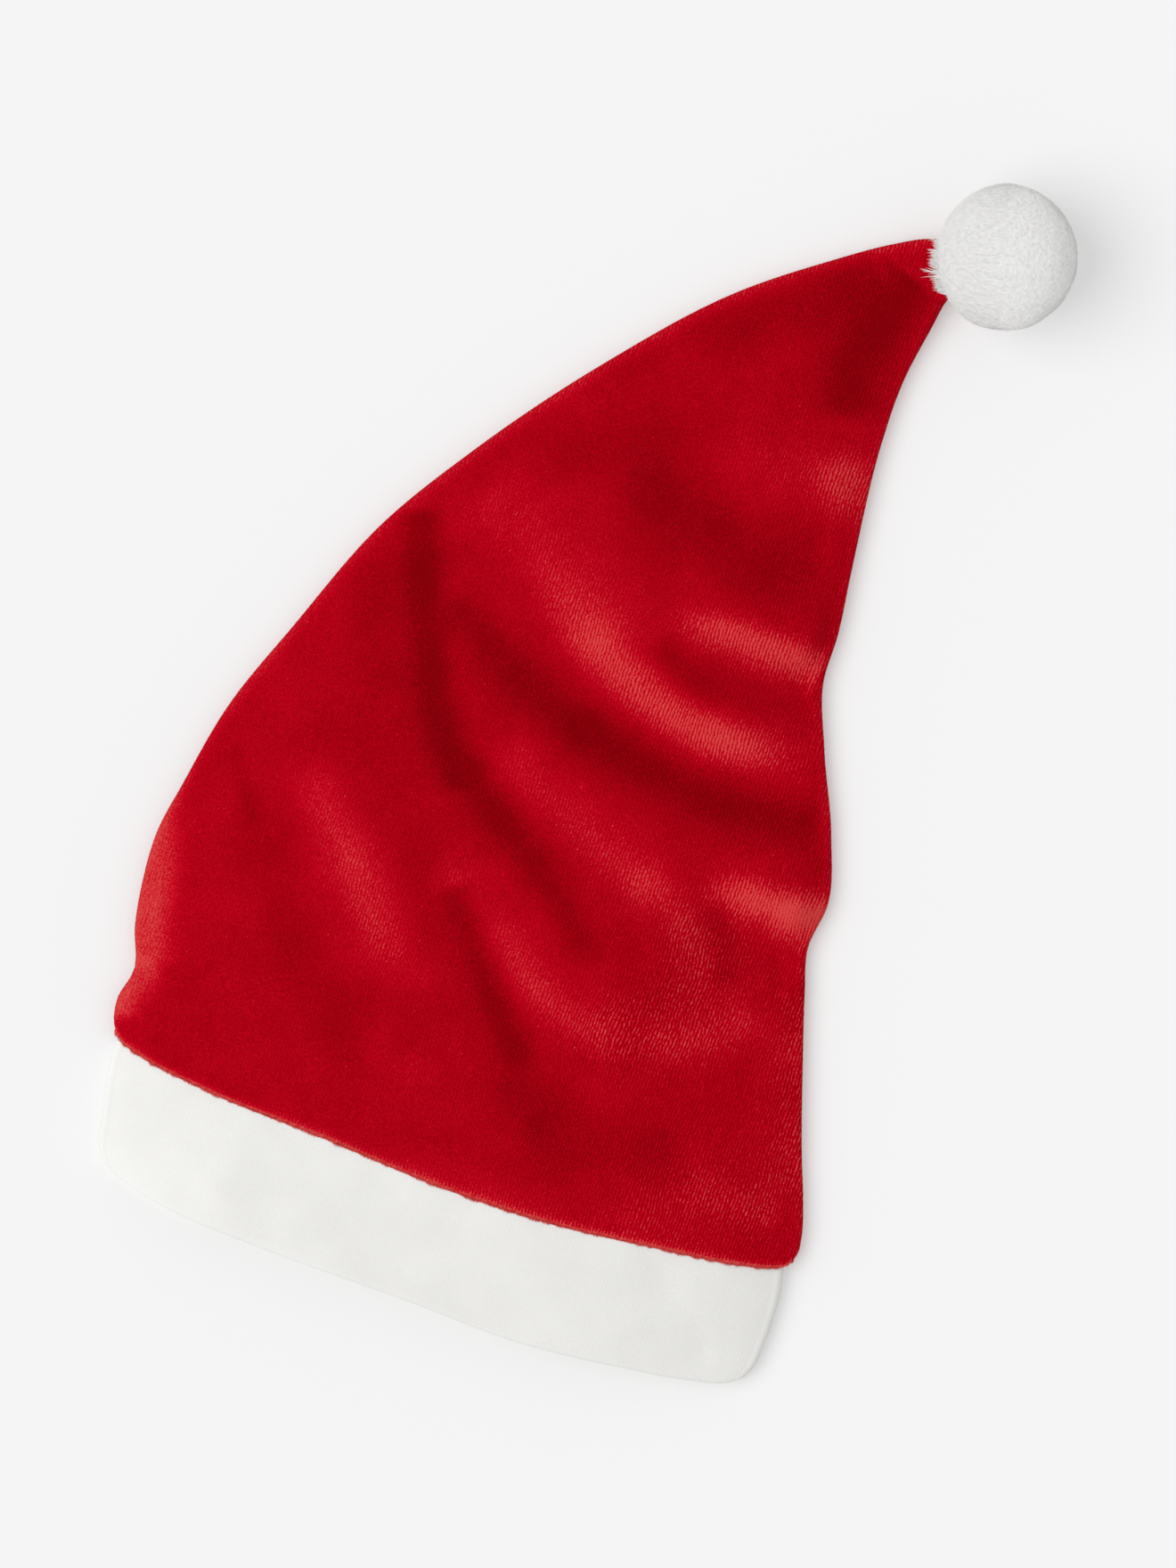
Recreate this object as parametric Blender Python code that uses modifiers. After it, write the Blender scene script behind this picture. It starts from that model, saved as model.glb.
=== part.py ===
"""A baby's red velour hat with a white band and a white ball at its tip, laid flat.

Metres, +Z up. The hat lies on its back panel, +X runs along the hem and +Y from the hem to the
tip. The tables are measured from the middle of the hem seam, and the finished hat is then moved
so that the middle of its base is the origin.
"""
import math
from collections import namedtuple

import bmesh
import bpy
import numpy as np
from mathutils import Vector

# Cloth
RED_WALL = 0.0015
BAND_WALL = 0.0024
SEAM_GAP = 0.0003

# Side edges, where the front turns over to meet the back
HALF_EDGE = 0.00295
ROLL = 0.0025
ROLL_STEPS = 3

# Loft of the hollow between front and back
CROWN = 0.0064
CROWN_REACH = 0.020
HEM_PUFF = 0.0006
HEM_PUFF_DEPTH = 0.016
FOLD_FADE_SIDE = 0.009
FOLD_FADE_HEM = 0.014

# Grid of the panels: spans across between the rolled edges, and rows from hem to tip
FRONT_SPANS = 24
BACK_SPANS = 8
PANEL_ROWS = 35
FIRST_ROW = 0.007
BAND_ROWS = 4
BAND_TURN_STEPS = 4
CURVE_SAMPLES = 600

# The tip turns up from the surface to the ball
BEND_START = Vector((0.0300, 0.2777))
BEND_HEADING = math.radians(32.7)
BEND_RADIUS = 0.050
BEND_TURN = math.radians(37.8)

# Ball
CORE_RADIUS = 0.0125
BALL_RADIUS = 0.0202
TIP_STANDOFF = 0.0127
LOCKS_PER_SIDE = 6
LOCK_WAIST = 0.62
LOCK_WAIST_FILL = 0.90
LOCK_END_FILL = 0.75
LOCK_SHORTENING = 0.04
TIP_CLEARANCE = math.radians(35.0)
WISP_EXTRA = 0.0028
WISP_SPREAD = math.radians(24.0)
WISP_LIFT = math.radians(8.0)

# Seam lines and edges in plan, from the middle of the hem seam
Station = namedtuple("Station", "x y")

LEFT_SEAM = [
    Station(-0.1036, 0.0115),
    Station(-0.1058, 0.0205),
    Station(-0.1038, 0.0296),
    Station(-0.1075, 0.0410),
    Station(-0.1096, 0.0535),
    Station(-0.1103, 0.0683),
    Station(-0.1079, 0.0831),
    Station(-0.1031, 0.1075),
    Station(-0.0929, 0.1354),
    Station(-0.0786, 0.1707),
    Station(-0.0615, 0.1978),
    Station(-0.0342, 0.2336),
    Station(-0.0052, 0.2647),
    Station(0.0157, 0.2807),
    Station(0.0318, 0.2915),
    Station(0.0413, 0.2965),
    Station(0.0554, 0.2990),
]

RIGHT_SEAM = [
    Station(0.0976, 0.0135),
    Station(0.0977, 0.0180),
    Station(0.0948, 0.0287),
    Station(0.0905, 0.0404),
    Station(0.0818, 0.0665),
    Station(0.0762, 0.0844),
    Station(0.0729, 0.0965),
    Station(0.0742, 0.1102),
    Station(0.0690, 0.1282),
    Station(0.0590, 0.1512),
    Station(0.0527, 0.1689),
    Station(0.0523, 0.1820),
    Station(0.0500, 0.2010),
    Station(0.0463, 0.2394),
    Station(0.0463, 0.2526),
    Station(0.0499, 0.2736),
    Station(0.0516, 0.2813),
    Station(0.0600, 0.2920),
]

HEM = [
    Station(-0.1036, 0.0115),
    Station(-0.0950, 0.0074),
    Station(-0.0740, 0.0043),
    Station(-0.0400, 0.0025),
    Station(0.0000, 0.0000),
    Station(0.0330, 0.0007),
    Station(0.0580, 0.0034),
    Station(0.0840, 0.0068),
    Station(0.0920, 0.0089),
    Station(0.0976, 0.0135),
]

BAND_FOOT = [
    Station(-0.0945, -0.0245),
    Station(-0.0864, -0.0279),
    Station(-0.0735, -0.0306),
    Station(-0.0450, -0.0325),
    Station(0.0000, -0.0331),
    Station(0.0310, -0.0341),
    Station(0.0600, -0.0316),
    Station(0.0820, -0.0284),
    Station(0.0955, -0.0246),
]

BAND_LEFT_END = [
    Station(-0.1036, 0.0112),
    Station(-0.1024, 0.0050),
    Station(-0.1012, -0.0018),
    Station(-0.0991, -0.0117),
    Station(-0.0976, -0.0191),
    Station(-0.0945, -0.0245),
]

BAND_RIGHT_END = [
    Station(0.0976, 0.0132),
    Station(0.0970, 0.0060),
    Station(0.0977, -0.0076),
    Station(0.0971, -0.0171),
    Station(0.0955, -0.0246),
]

# Folds of the front: a height is above the smooth cloth, a negative one is a hollow. The two
# half widths are on the hem's side and on the tip's side of the path.
Fold = namedtuple("Fold", "height hem_side tip_side path")

FOLDS = {
    "middle_ridge": Fold(
        0.0034, 0.011, 0.018, [(-0.057, 0.192), (-0.026, 0.179), (0.008, 0.161), (0.053, 0.152)]
    ),
    "middle_hollow": Fold(
        -0.0032, 0.012, 0.011, [(-0.049, 0.156), (-0.020, 0.140), (0.018, 0.131), (0.066, 0.131)]
    ),
    "second_ridge": Fold(
        0.0018, 0.009, 0.009, [(-0.031, 0.135), (-0.005, 0.125), (0.025, 0.110), (0.044, 0.100)]
    ),
    "second_hollow": Fold(
        -0.0022, 0.007, 0.008, [(-0.067, 0.174), (-0.055, 0.144), (-0.038, 0.118), (-0.008, 0.095)]
    ),
    "bowl_rim": Fold(
        0.0028, 0.009, 0.015, [(-0.026, 0.106), (-0.002, 0.088), (0.026, 0.074), (0.047, 0.089)]
    ),
    "bowl_hollow": Fold(
        -0.0018, 0.010, 0.009, [(-0.029, 0.081), (-0.009, 0.056), (0.017, 0.031), (0.039, 0.023)]
    ),
    "left_ridge": Fold(
        0.0017, 0.007, 0.014, [(-0.082, 0.105), (-0.058, 0.088), (-0.035, 0.068), (-0.016, 0.046)]
    ),
    "left_hollow": Fold(
        -0.0016, 0.009, 0.007, [(-0.100, 0.100), (-0.077, 0.075), (-0.054, 0.046), (-0.028, 0.021)]
    ),
    "upper_dent_ridge": Fold(
        0.0026, 0.0055, 0.010, [(0.006, 0.182), (0.021, 0.184), (0.036, 0.183), (0.052, 0.180)]
    ),
    "upper_dent_pocket": Fold(
        -0.0019, 0.0055, 0.0055, [(0.013, 0.162), (0.027, 0.160), (0.041, 0.161), (0.053, 0.168)]
    ),
    "lower_dent_ridge": Fold(
        0.0024, 0.006, 0.009, [(0.038, 0.111), (0.051, 0.113), (0.063, 0.112), (0.075, 0.112)]
    ),
    "lower_dent_pocket": Fold(
        -0.0022, 0.007, 0.0055, [(0.043, 0.093), (0.055, 0.091), (0.065, 0.091), (0.074, 0.095)]
    ),
    "tip_hollow": Fold(
        -0.0017, 0.010, 0.009, [(-0.028, 0.232), (-0.004, 0.209), (0.023, 0.198), (0.046, 0.204)]
    ),
    "tip_ridge": Fold(
        0.0014, 0.009, 0.012, [(-0.002, 0.233), (0.014, 0.223), (0.028, 0.221), (0.045, 0.226)]
    ),
}

# Colours as the shader takes them, then roughness
RED_VELOUR = ((0.440, 0.001, 0.008, 1.0), 0.85)
WHITE_VELOUR = ((0.800, 0.790, 0.760, 1.0), 0.85)
WHITE_FUR = ((0.790, 0.780, 0.770, 1.0), 0.95)


def clear_scene():
    """Remove the objects of the open file."""
    for found in list(bpy.data.objects):
        bpy.data.objects.remove(found, do_unlink=True)


def smooth_curve(points):
    """Return a function of 0..1 that runs evenly along a smooth curve through the points."""
    knots = np.array(points, dtype=float)
    stops = np.concatenate(([0.0], np.cumsum(np.linalg.norm(np.diff(knots, axis=0), axis=1))))
    slopes = np.gradient(knots, stops, axis=0)
    places = np.linspace(0.0, stops[-1], CURVE_SAMPLES)
    span = np.clip(np.searchsorted(stops, places, side="right") - 1, 0, len(stops) - 2)
    step = (stops[span + 1] - stops[span])[:, None]
    f = (places - stops[span])[:, None] / step
    line = (2 * f**3 - 3 * f**2 + 1) * knots[span] + (3 * f**2 - 2 * f**3) * knots[span + 1]
    line += (f**3 - 2 * f**2 + f) * step * slopes[span] + (f**3 - f**2) * step * slopes[span + 1]
    run = np.concatenate(([0.0], np.cumsum(np.linalg.norm(np.diff(line, axis=0), axis=1))))
    run /= run[-1]

    def at(t):
        return np.array([np.interp(t, run, line[:, 0]), np.interp(t, run, line[:, 1])])

    return at


def straight(start, end):
    """Return a function of 0..1 along a straight line."""
    first = np.array(start)
    last = np.array(end)
    return lambda t: first + (last - first) * t


class Outline:
    """A four-sided piece of cloth in plan, filled evenly between its four edges."""

    def __init__(self, foot, head, left, right):
        self.foot = foot
        self.head = head
        self.left = left
        self.right = right

    def width(self, t):
        return float(np.linalg.norm(self.right(t) - self.left(t)))

    def point(self, s, t):
        """Return the plan point at share s of the width and share t of the length."""
        along = (1 - t) * self.foot(s) + t * self.head(s)
        across = (1 - s) * self.left(t) + s * self.right(t)
        low = (1 - s) * self.foot(0) + s * self.foot(1)
        high = (1 - s) * self.head(0) + s * self.head(1)
        return along + across - (1 - t) * low - t * high


def smooth_step(value):
    """Ease from 0 to 1 as the value goes from 0 to 1."""
    share = min(max(value, 0.0), 1.0)
    return share * share * (3 - 2 * share)


def row_stations(width, spans):
    """Return (distance from the left, rise over the seam's plane) from edge to edge."""
    wall_top = HALF_EDGE - ROLL
    edge = [(0.0, SEAM_GAP / 2), (0.0, wall_top)]
    for step in range(1, ROLL_STEPS):
        turn = math.pi / 2 * step / ROLL_STEPS
        edge.append((ROLL * (1 - math.cos(turn)), wall_top + ROLL * math.sin(turn)))
    flat = width - 2 * ROLL
    middle = []
    for step in range(spans + 1):
        even = step / spans
        eased = (1 - math.cos(math.pi * even)) / 2
        middle.append((ROLL + flat * (even + eased) / 2, HALF_EDGE))
    mirrored = [(width - distance, rise) for distance, rise in reversed(edge)]
    return edge + middle + mirrored


def crown_height(from_left, from_right):
    """Return how far the hollow lifts the front cloth, none at the rolled edges."""
    left = 1 - math.exp(-max(from_left - ROLL, 0.0) / CROWN_REACH)
    right = 1 - math.exp(-max(from_right - ROLL, 0.0) / CROWN_REACH)
    return CROWN * left * right


def fold_paths():
    """Return each fold with its path as a fine line of points."""
    shares = np.linspace(0.0, 1.0, 33)
    return [(fold, np.array([smooth_curve(fold.path)(t) for t in shares])) for fold in FOLDS.values()]


def fold_height(paths, place):
    """Return the height of all folds together at one plan point."""
    total = 0.0
    for fold, path in paths:
        steps = np.diff(path, axis=0)
        starts = path[:-1]
        lengths = (steps**2).sum(axis=1)
        along = np.clip(((place - starts) * steps).sum(axis=1) / lengths, 0.0, 1.0)
        offsets = place - starts - along[:, None] * steps
        distances = np.linalg.norm(offsets, axis=1)
        near = int(distances.argmin())
        distance = max(float(distances[near]), 1e-9)
        cross = steps[near][0] * offsets[near][1] - steps[near][1] * offsets[near][0]
        tip_share = 0.5 + 0.5 * cross / (math.sqrt(lengths[near]) * distance)
        width = fold.hem_side + (fold.tip_side - fold.hem_side) * tip_share
        share = (near + along[near]) / len(steps)
        fade = smooth_step(min(share / 0.3, (1 - share) / 0.2) + 0.1)
        total += fold.height * fade * math.exp(-((distance / width) ** 2))
    return total


def bend_tip(point):
    """Turn the stretch past the bend's start upwards, about an axis above the surface."""
    heading = Vector((math.cos(BEND_HEADING), math.sin(BEND_HEADING)))
    reach = (point.xy - BEND_START).dot(heading)
    if reach <= 0:
        return point
    turn = reach / BEND_RADIUS
    arm = BEND_RADIUS - point.z
    plan = point.xy + heading * (arm * math.sin(turn) - reach)
    return Vector((plan.x, plan.y, BEND_RADIUS - arm * math.cos(turn)))


def panel_rows(outline, spans, height_at):
    """Return the panel's points, row by row from hem to tip, each from left to right."""
    shares = [0.0, FIRST_ROW]
    for row in range(1, PANEL_ROWS + 1):
        shares.append(FIRST_ROW + (1 - FIRST_ROW) * row / PANEL_ROWS)
    rows = []
    for t in shares:
        width = outline.width(t)
        row = []
        for distance, rise in row_stations(width, spans):
            place = outline.point(distance / width, t)
            height = height_at(place, distance, width - distance, rise, t)
            row.append(bend_tip(Vector((place[0], place[1], height))))
        rows.append(row)
    return rows


def mesh_from_rows(name, rows, closed_across, closed_along, flip):
    """Join rows of points with four-sided faces, round the rows or the piece where closed."""
    mesh = bpy.data.meshes.new(name)
    form = bmesh.new()
    grid = [[form.verts.new(point) for point in row] for row in rows]
    row_count = len(grid) if closed_along else len(grid) - 1
    for i in range(row_count):
        low = grid[i]
        high = grid[(i + 1) % len(grid)]
        column_count = len(low) if closed_across else len(low) - 1
        for j in range(column_count):
            k = (j + 1) % len(low)
            corners = [low[j], low[k], high[k], high[j]]
            if flip:
                corners.reverse()
            form.faces.new(corners)
    form.to_mesh(mesh)
    form.free()
    mesh.shade_smooth()
    mesh.set_sharp_from_angle(angle=math.radians(50))
    return mesh


def material(name, look):
    """Make a Principled material from a colour and a roughness."""
    colour, roughness = look
    made = bpy.data.materials.new(name)
    made.use_nodes = True
    shader = made.node_tree.nodes["Principled BSDF"]
    shader.inputs["Base Color"].default_value = colour
    shader.inputs["Roughness"].default_value = roughness
    shader.inputs["Metallic"].default_value = 0.0
    made.diffuse_color = colour
    return made


def add_object(collection, name, mesh, look):
    """Put a mesh in the collection as one named sub-part with its own material."""
    made = bpy.data.objects.new(name, mesh)
    made.data.materials.append(material(name + "_cloth", look))
    collection.objects.link(made)
    return made


def thicken(cloth, wall):
    """Give an open surface its wall, on the inner side."""
    solid = cloth.modifiers.new("wall", "SOLIDIFY")
    solid.thickness = wall
    solid.offset = -1.0
    solid.use_even_offset = True


def red_outline():
    """Return the plan of the red panels, which have one shape."""
    tip = straight(LEFT_SEAM[-1], RIGHT_SEAM[-1])
    return Outline(smooth_curve(HEM), tip, smooth_curve(LEFT_SEAM), smooth_curve(RIGHT_SEAM))


def build_front(collection):
    """Front panel: the domed, folded cloth between the side seams, from hem to tip."""
    outline = red_outline()
    paths = fold_paths()
    length = float(np.linalg.norm(outline.head(0.5) - outline.foot(0.5)))

    def height_at(place, from_left, from_right, rise, t):
        from_hem = t * length
        side_fade = smooth_step(min(from_left, from_right) / FOLD_FADE_SIDE)
        hem_fade = smooth_step(from_hem / FOLD_FADE_HEM)
        level = HALF_EDGE + rise + crown_height(from_left, from_right)
        puff = HEM_PUFF * side_fade * (1 - smooth_step(from_hem / HEM_PUFF_DEPTH))
        return level + puff + fold_height(paths, place) * side_fade * hem_fade

    rows = panel_rows(outline, FRONT_SPANS, height_at)
    front = add_object(
        collection, "front_panel", mesh_from_rows("front_panel", rows, False, False, False), RED_VELOUR
    )
    thicken(front, RED_WALL)


def build_back(collection):
    """Back panel: the same plan as the front, flat on the surface, its edges turned up."""

    def height_at(place, from_left, from_right, rise, t):
        return HALF_EDGE - rise

    rows = panel_rows(red_outline(), BACK_SPANS, height_at)
    back = add_object(
        collection, "back_panel", mesh_from_rows("back_panel", rows, False, False, True), RED_VELOUR
    )
    thicken(back, RED_WALL)


def band_loop(outline, t):
    """Return the band's outer points round the tube at share t of its depth, and their inward way."""
    width = outline.width(t)
    points = []
    for distance, rise in row_stations(width, FRONT_SPANS)[1:-1]:
        place = outline.point(distance / width, t)
        level = HALF_EDGE + rise + crown_height(distance, width - distance)
        points.append(Vector((place[0], place[1], level)))
    for distance, rise in reversed(row_stations(width, BACK_SPANS)[1:-1]):
        place = outline.point(distance / width, t)
        points.append(Vector((place[0], place[1], HALF_EDGE - rise)))
    inward = []
    for index, point in enumerate(points):
        before = (point - points[index - 1]).xz.normalized()
        after = (points[(index + 1) % len(points)] - point).xz.normalized()
        tangent = (before + after).normalized()
        mitre = 1 / math.sqrt(max((1 + before.dot(after)) / 2, 0.5))
        inward.append(Vector((tangent.y, 0.0, -tangent.x)) * mitre)
    return points, inward


def build_band(collection):
    """Band: a strip folded double, joined into a flat tube, with its round fold at the foot."""
    hem = smooth_curve(HEM)

    def below_hem(s):
        return hem(s) - np.array([0.0, SEAM_GAP])

    foot = smooth_curve(BAND_FOOT)
    outline = Outline(below_hem, foot, smooth_curve(BAND_LEFT_END), smooth_curve(BAND_RIGHT_END))
    depth = float(np.linalg.norm(outline.head(0.5) - outline.foot(0.5)))
    turn_radius = BAND_WALL / 2
    last = 1 - turn_radius / depth
    shares = [last * row / BAND_ROWS for row in range(BAND_ROWS + 1)]
    rows = []
    for t in shares:
        rows.append(band_loop(outline, t)[0])
    points, inward = band_loop(outline, last)
    down = [(after - point).normalized() for point, after in zip(points, band_loop(outline, 1.0)[0])]
    for step in range(1, BAND_TURN_STEPS):
        turn = math.pi * step / BAND_TURN_STEPS
        depth_in = turn_radius * (1 - math.cos(turn))
        depth_down = turn_radius * math.sin(turn)
        rows.append([p + i * depth_in + d * depth_down for p, i, d in zip(points, inward, down)])
    for t in reversed(shares):
        points, inward = band_loop(outline, t)
        rows.append([p + i * BAND_WALL for p, i in zip(points, inward)])
    add_object(collection, "band", mesh_from_rows("band", rows, True, True, True), WHITE_VELOUR)


def ball_centre():
    """Return the ball's middle, straight on from the end of the upturned tip."""
    heading = Vector((math.cos(BEND_HEADING), math.sin(BEND_HEADING)))
    arm = BEND_RADIUS - HALF_EDGE
    plan = BEND_START + heading * (arm * math.sin(BEND_TURN) + TIP_STANDOFF * math.cos(BEND_TURN))
    level = BEND_RADIUS - arm * math.cos(BEND_TURN) + TIP_STANDOFF * math.sin(BEND_TURN)
    return Vector((plan.x, plan.y, level))


def heading_at(elevation):
    """Return the way from the ball back towards the hat, at an elevation."""
    flat = math.cos(elevation)
    return Vector(
        (-math.cos(BEND_HEADING) * flat, -math.sin(BEND_HEADING) * flat, math.sin(elevation))
    )


def build_ball(collection):
    """Ball: a round core with its locks standing all round, but for where the tip comes in."""
    form = bmesh.new()
    bmesh.ops.create_cube(form, size=2.0)
    bmesh.ops.subdivide_edges(form, edges=form.edges[:], cuts=LOCKS_PER_SIDE - 1, use_grid_fill=True)
    for vertex in form.verts:
        spread = Vector([math.tan(math.pi / 4 * part) for part in vertex.co])
        vertex.co = spread.normalized() * CORE_RADIUS
    tip_way = heading_at(-BEND_TURN)
    wisp_way = heading_at(WISP_LIFT)
    lock_faces = []
    for face in form.faces:
        if face.calc_center_median().angle(tip_way) > TIP_CLEARANCE:
            lock_faces.append(face)
    sizes = [1.0] * len(lock_faces)
    for rise, fill in ((LOCK_WAIST, LOCK_WAIST_FILL), (1.0, LOCK_END_FILL)):
        lock_faces = bmesh.ops.extrude_discrete_faces(form, faces=lock_faces)["faces"]
        for index, face in enumerate(lock_faces):
            middle = face.calc_center_median()
            way = middle.normalized()
            wisp = WISP_EXTRA * math.exp(-((way.angle(wisp_way) / WISP_SPREAD) ** 2))
            full = BALL_RADIUS * (1 - LOCK_SHORTENING * (index % 3) / 2) + wisp
            radius = CORE_RADIUS + (full - CORE_RADIUS) * rise
            size = radius / CORE_RADIUS * fill
            for vertex in face.verts:
                vertex.co = way * radius + (vertex.co - middle) * size / sizes[index]
            sizes[index] = size
    mesh = bpy.data.meshes.new("pompom")
    form.to_mesh(mesh)
    form.free()
    mesh.shade_flat()
    ball = add_object(collection, "pompom", mesh, WHITE_FUR)
    ball.location = ball_centre()


def move_to_base_middle(collection):
    """Move every piece so that the middle of the hat's base is the origin."""
    bpy.context.view_layer.update()
    corners = []
    for piece in collection.objects:
        corners += [piece.matrix_world @ vertex.co for vertex in piece.data.vertices]
    low = Vector([min(corner[axis] for corner in corners) for axis in range(3)])
    high = Vector([max(corner[axis] for corner in corners) for axis in range(3)])
    middle = (low + high) / 2
    for piece in collection.objects:
        piece.location -= Vector((middle.x, middle.y, low.z))


clear_scene()
hat = bpy.data.collections.new("baby_hat")
bpy.context.scene.collection.children.link(hat)
build_front(hat)
build_back(hat)
build_band(hat)
build_ball(hat)
move_to_base_middle(hat)
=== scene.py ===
import math
from collections import namedtuple

import bmesh
import bpy
import numpy as np
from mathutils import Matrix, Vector, noise


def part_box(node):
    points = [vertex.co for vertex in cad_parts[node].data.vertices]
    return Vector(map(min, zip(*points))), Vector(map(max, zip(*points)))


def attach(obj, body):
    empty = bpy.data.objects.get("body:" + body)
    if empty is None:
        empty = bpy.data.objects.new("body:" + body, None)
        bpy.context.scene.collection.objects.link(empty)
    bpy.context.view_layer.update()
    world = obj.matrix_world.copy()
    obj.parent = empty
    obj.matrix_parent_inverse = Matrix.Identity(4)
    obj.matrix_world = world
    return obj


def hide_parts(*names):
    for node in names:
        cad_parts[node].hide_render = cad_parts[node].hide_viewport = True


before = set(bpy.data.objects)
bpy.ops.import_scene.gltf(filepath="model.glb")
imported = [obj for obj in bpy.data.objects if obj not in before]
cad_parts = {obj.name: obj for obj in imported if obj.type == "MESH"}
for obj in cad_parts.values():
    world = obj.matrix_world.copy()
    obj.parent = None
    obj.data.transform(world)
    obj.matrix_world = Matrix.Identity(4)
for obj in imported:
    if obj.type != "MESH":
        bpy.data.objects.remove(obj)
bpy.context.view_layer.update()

# Front panel
# The upper half of the hat's body, one piece of red cotton velour: a rib knit whose loops are
# sheared to a short pile. It is sewn to the back at both sides and lies over it in soft folds.
velour_wall = 0.0015
half_edge = 0.00295
seam_gap = 0.00015
side_length = 0.290
side_roll = 0.0025
hem_roll = 0.0009
crown = 0.0064
crown_reach = 0.020
hem_puff = 0.0006
hem_puff_depth = 0.016
fold_fade_side = 0.009
fold_fade_hem = 0.012
fold_end_share = 0.05
cloth_waver = 0.00016
cloth_waver_size = 0.016
cloth_waver_seed = 1.7
roll_steps = 8
hem_steps = 6
front_spans = 138
front_rows = 232
edge_crowding = 0.3

front_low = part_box("front_panel")[0]
bulge_to_hem_middle = 0.11036
foot_to_hem_middle = 0.00008
hem_middle = np.array([front_low.x + bulge_to_hem_middle, front_low.y + foot_to_hem_middle])

left_seam = [
    (-0.1028, 0.0112), (-0.1042, 0.0135), (-0.1056, 0.0200), (-0.1038, 0.0296), (-0.1075, 0.0410),
    (-0.1096, 0.0535), (-0.1103, 0.0683), (-0.1079, 0.0831), (-0.1031, 0.1075), (-0.0929, 0.1354),
    (-0.0786, 0.1707), (-0.0615, 0.1978), (-0.0342, 0.2336), (-0.0052, 0.2647), (0.0157, 0.2807),
    (0.0318, 0.2915), (0.0413, 0.2965), (0.0554, 0.2990),
]
right_seam = [
    (0.0973, 0.0121), (0.0981, 0.0150), (0.0976, 0.0195), (0.0948, 0.0290), (0.0905, 0.0404),
    (0.0818, 0.0665), (0.0762, 0.0844), (0.0729, 0.0965), (0.0742, 0.1102), (0.0690, 0.1282),
    (0.0590, 0.1512), (0.0527, 0.1689), (0.0523, 0.1820), (0.0500, 0.2010), (0.0463, 0.2394),
    (0.0463, 0.2526), (0.0499, 0.2736), (0.0516, 0.2813), (0.0600, 0.2920),
]
hem_line = [
    (-0.1028, 0.0112), (-0.1008, 0.0096), (-0.0950, 0.0076), (-0.0740, 0.0043), (-0.0400, 0.0025),
    (0.0000, 0.0000), (0.0330, 0.0007), (0.0580, 0.0034), (0.0840, 0.0068), (0.0915, 0.0085),
    (0.0951, 0.0099), (0.0973, 0.0121),
]

Fold = namedtuple("Fold", "height hem_side tip_side path rise fall", defaults=(0.3, 0.2))
front_folds = {
    "middle_ridge": Fold(
        0.0034, 0.011, 0.018, [(-0.057, 0.192), (-0.026, 0.179), (0.008, 0.161), (0.053, 0.152)]
    ),
    "middle_hollow": Fold(
        -0.0032, 0.012, 0.011, [(-0.049, 0.156), (-0.020, 0.140), (0.018, 0.131), (0.066, 0.131)]
    ),
    "second_ridge": Fold(
        0.0018, 0.009, 0.009, [(-0.031, 0.135), (-0.005, 0.125), (0.025, 0.110), (0.044, 0.100)]
    ),
    "second_hollow": Fold(
        -0.0022, 0.007, 0.008, [(-0.067, 0.174), (-0.055, 0.144), (-0.038, 0.118), (-0.008, 0.095)]
    ),
    "bowl_rim": Fold(
        0.0028, 0.009, 0.015, [(-0.026, 0.106), (-0.002, 0.088), (0.026, 0.074), (0.047, 0.089)]
    ),
    "bowl_hollow": Fold(
        -0.0018, 0.010, 0.009, [(-0.029, 0.081), (-0.009, 0.056), (0.017, 0.031), (0.039, 0.023)]
    ),
    "left_ridge": Fold(
        0.0017, 0.007, 0.014, [(-0.082, 0.105), (-0.058, 0.088), (-0.035, 0.068), (-0.016, 0.046)]
    ),
    "left_hollow": Fold(
        -0.0016, 0.009, 0.007, [(-0.100, 0.100), (-0.077, 0.075), (-0.054, 0.046), (-0.028, 0.021)]
    ),
    "upper_dent_ridge": Fold(
        0.0029, 0.0055, 0.012, [(0.000, 0.176), (0.017, 0.178), (0.034, 0.178), (0.052, 0.177)], 0.7, 0.1
    ),
    "upper_dent_pocket": Fold(
        -0.0024, 0.0060, 0.0050, [(0.004, 0.167), (0.020, 0.165), (0.037, 0.164), (0.053, 0.166)], 0.6, 0.1
    ),
    "lower_dent_ridge": Fold(
        0.0029, 0.0055, 0.011, [(0.030, 0.108), (0.046, 0.110), (0.060, 0.108), (0.075, 0.103)], 0.6, 0.1
    ),
    "lower_dent_pocket": Fold(
        -0.0026, 0.0090, 0.0050, [(0.036, 0.104), (0.047, 0.097), (0.060, 0.092), (0.074, 0.090)], 0.5, 0.1
    ),
    "tip_hollow": Fold(
        -0.0017, 0.010, 0.009, [(-0.028, 0.232), (-0.004, 0.209), (0.023, 0.198), (0.046, 0.204)]
    ),
    "tip_ridge": Fold(
        0.0014, 0.009, 0.012, [(-0.002, 0.233), (0.014, 0.223), (0.028, 0.221), (0.045, 0.226)]
    ),
    "hem_crease": Fold(
        -0.0008, 0.003, 0.003, [(0.042, 0.020), (0.045, 0.015), (0.048, 0.009), (0.050, 0.004)]
    ),
    "corner_crease": Fold(
        0.0007, 0.004, 0.004, [(0.050, 0.026), (0.060, 0.022), (0.072, 0.022), (0.084, 0.026)]
    ),
    "notch_crease": Fold(
        -0.0009, 0.003, 0.004, [(-0.104, 0.030), (-0.099, 0.031), (-0.093, 0.034), (-0.088, 0.040)]
    ),
}


def length_along(line):
    """Length from the start of a line to each of its points."""
    return np.concatenate(([0.0], np.cumsum(np.linalg.norm(np.diff(line, axis=0), axis=1))))


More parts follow.
